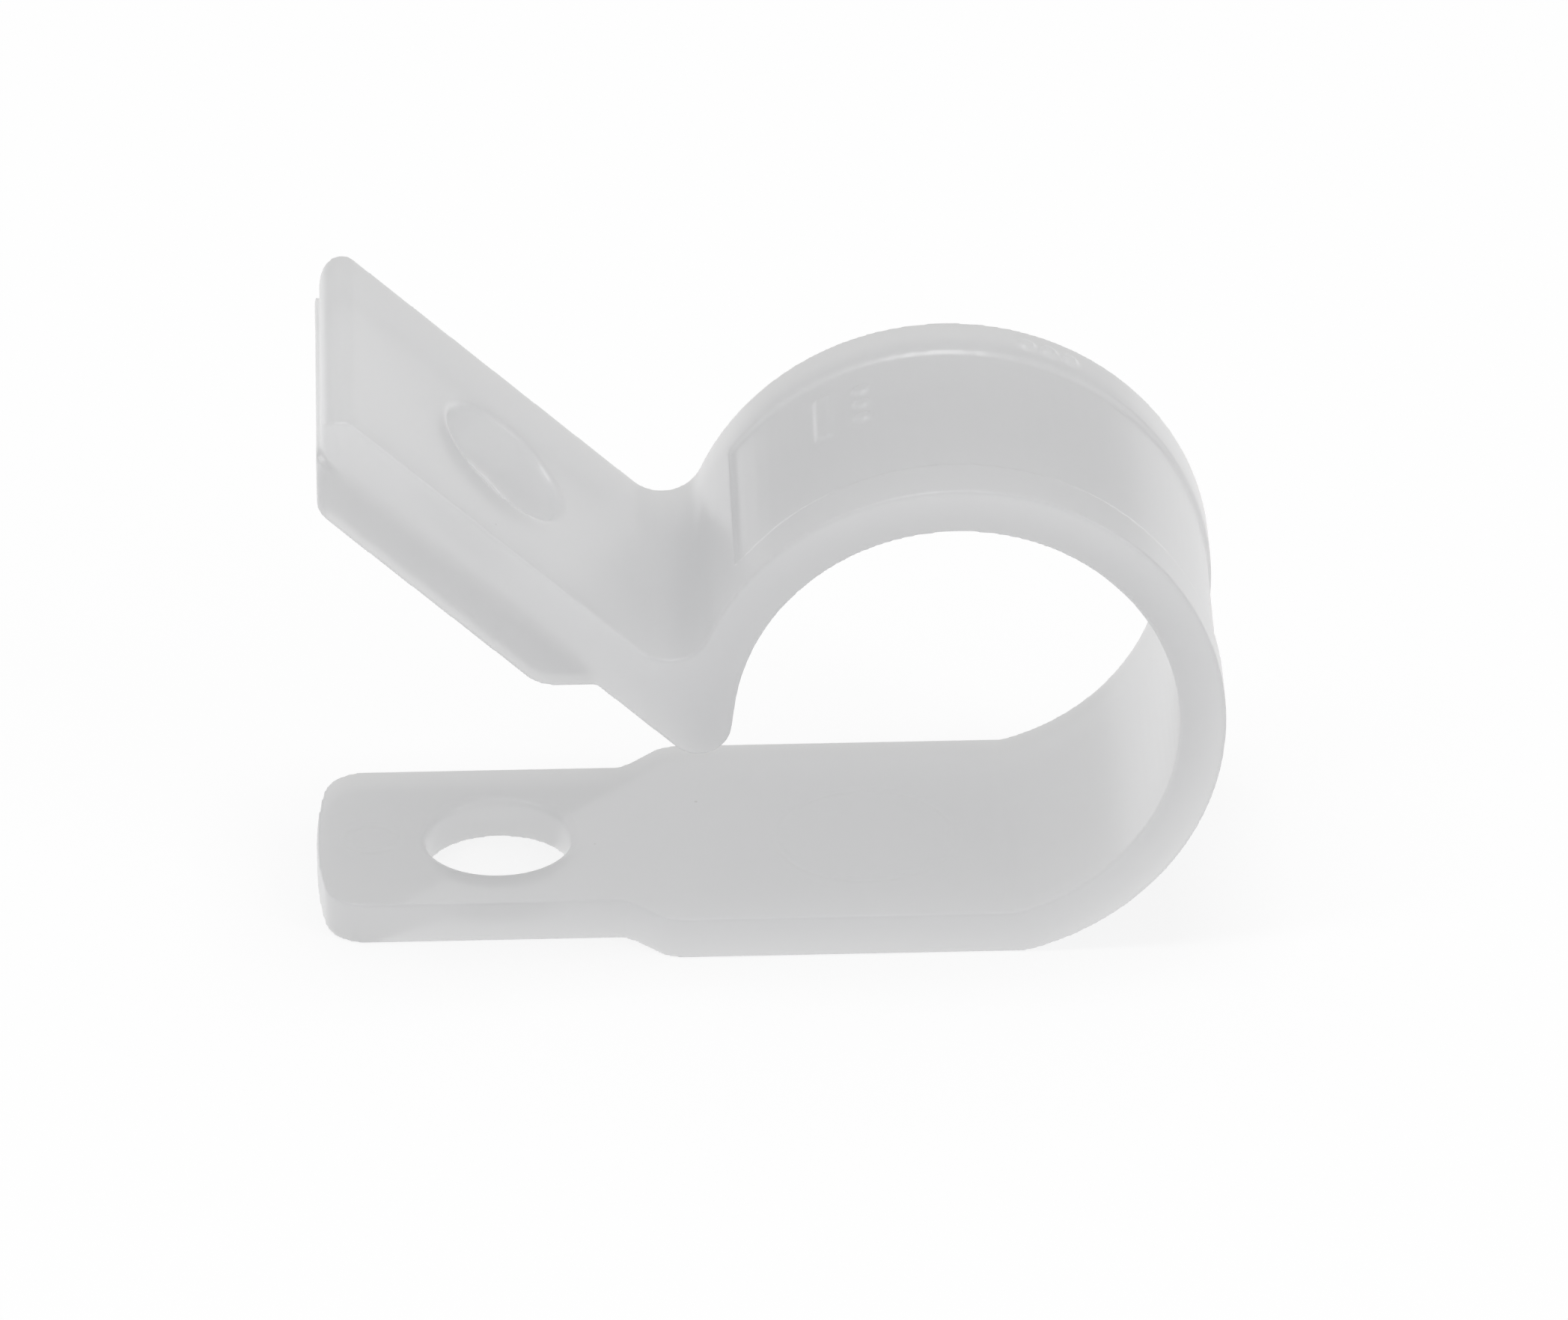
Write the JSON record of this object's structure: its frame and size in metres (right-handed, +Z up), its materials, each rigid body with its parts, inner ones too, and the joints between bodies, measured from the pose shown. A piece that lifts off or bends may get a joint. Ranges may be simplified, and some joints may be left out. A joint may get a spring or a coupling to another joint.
{
  "type": "cable clamp",
  "caption": "One-piece moulded nylon P clamp, open as moulded: flat strap with a screw tab, round cable loop with edge rims, and a raised upper tab that nests over the lower one.",
  "frame": {"origin": "axis of the lower screw hole, on the strap's underside", "axes": "+X along the strap from the screw hole to the loop, +Y along the loop's axis, +Z up out of the mounting plane"},
  "size_m": [0.0327, 0.0126, 0.0223],
  "materials": {
    "nylon": "natural milky nylon, slightly see-through, soft gloss"
  },
  "bodies": {
    "root": {"clamp_body": "nylon"}
  },
  "joints": []
}
